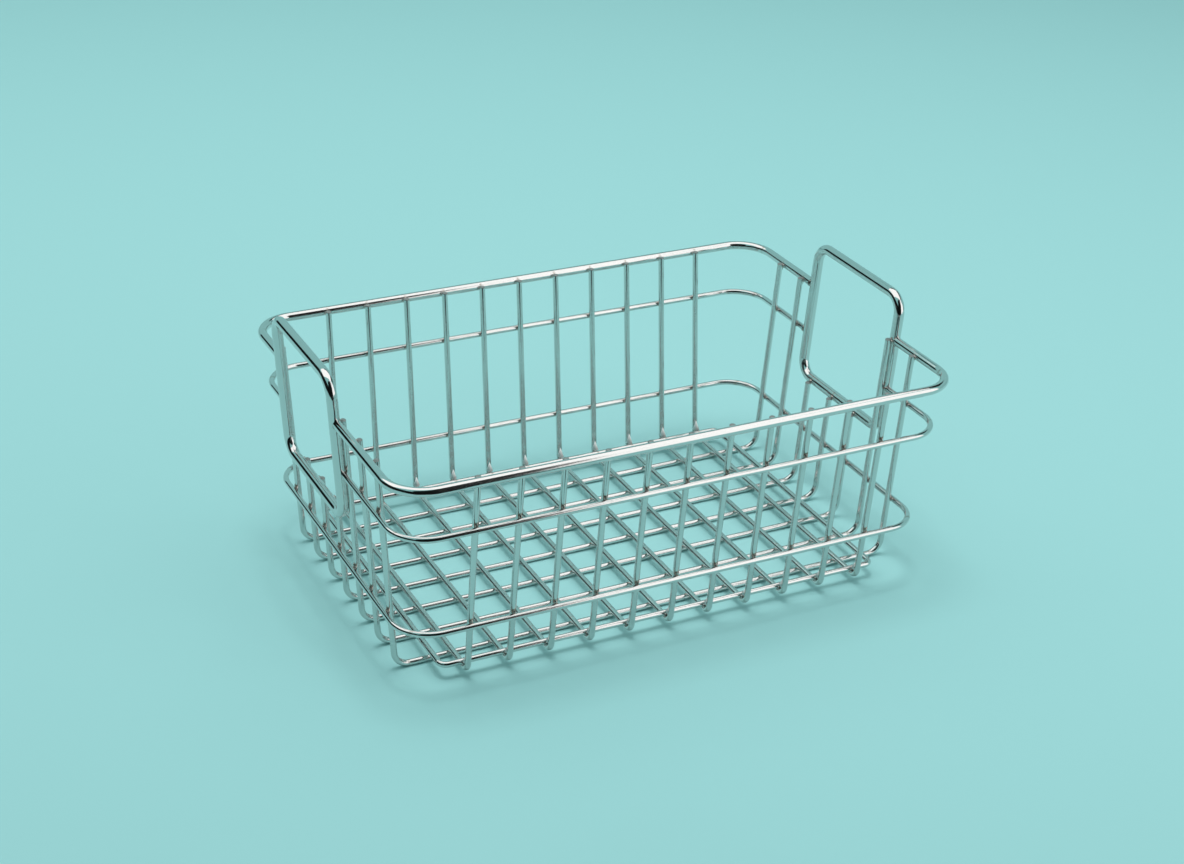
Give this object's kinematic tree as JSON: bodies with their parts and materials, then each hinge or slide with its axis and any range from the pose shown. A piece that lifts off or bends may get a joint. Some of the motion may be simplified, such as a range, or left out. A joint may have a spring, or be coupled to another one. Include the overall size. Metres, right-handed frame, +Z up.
{
  "type": "wire basket",
  "caption": "Tapered rectangular basket of round welded steel wire, with a thick rim and an upright looped wire handle at each end.",
  "frame": {"origin": "on the ground under the middle of the floor", "axes": "+X along the length to the right, +Y along the width to the back, +Z up"},
  "size_m": [0.3944, 0.267, 0.1785],
  "materials": {
    "body_wire": "electropolished round stainless wire",
    "rim_wire": "electropolished round stainless wire",
    "handle_wire": "electropolished round stainless wire"
  },
  "bodies": {
    "root": {"cross_wire_1": "body_wire", "cross_wire_2": "body_wire", "cross_wire_3": "body_wire", "cross_wire_4": "body_wire", "cross_wire_5": "body_wire", "cross_wire_6": "body_wire", "cross_wire_7": "body_wire", "cross_wire_8": "body_wire", "cross_wire_9": "body_wire", "cross_wire_10": "body_wire", "cross_wire_11": "body_wire", "long_wire_1": "body_wire", "long_wire_2": "body_wire", "long_wire_3": "body_wire", "long_wire_4": "body_wire", "long_wire_5": "body_wire", "long_wire_6": "body_wire", "long_wire_7": "body_wire", "middle_hoop_front": "body_wire", "middle_hoop_back": "body_wire", "lower_hoop": "body_wire", "floor_frame": "body_wire", "rim_front": "rim_wire", "rim_back": "rim_wire", "left_handle": "handle_wire", "right_handle": "handle_wire"}
  },
  "joints": []
}
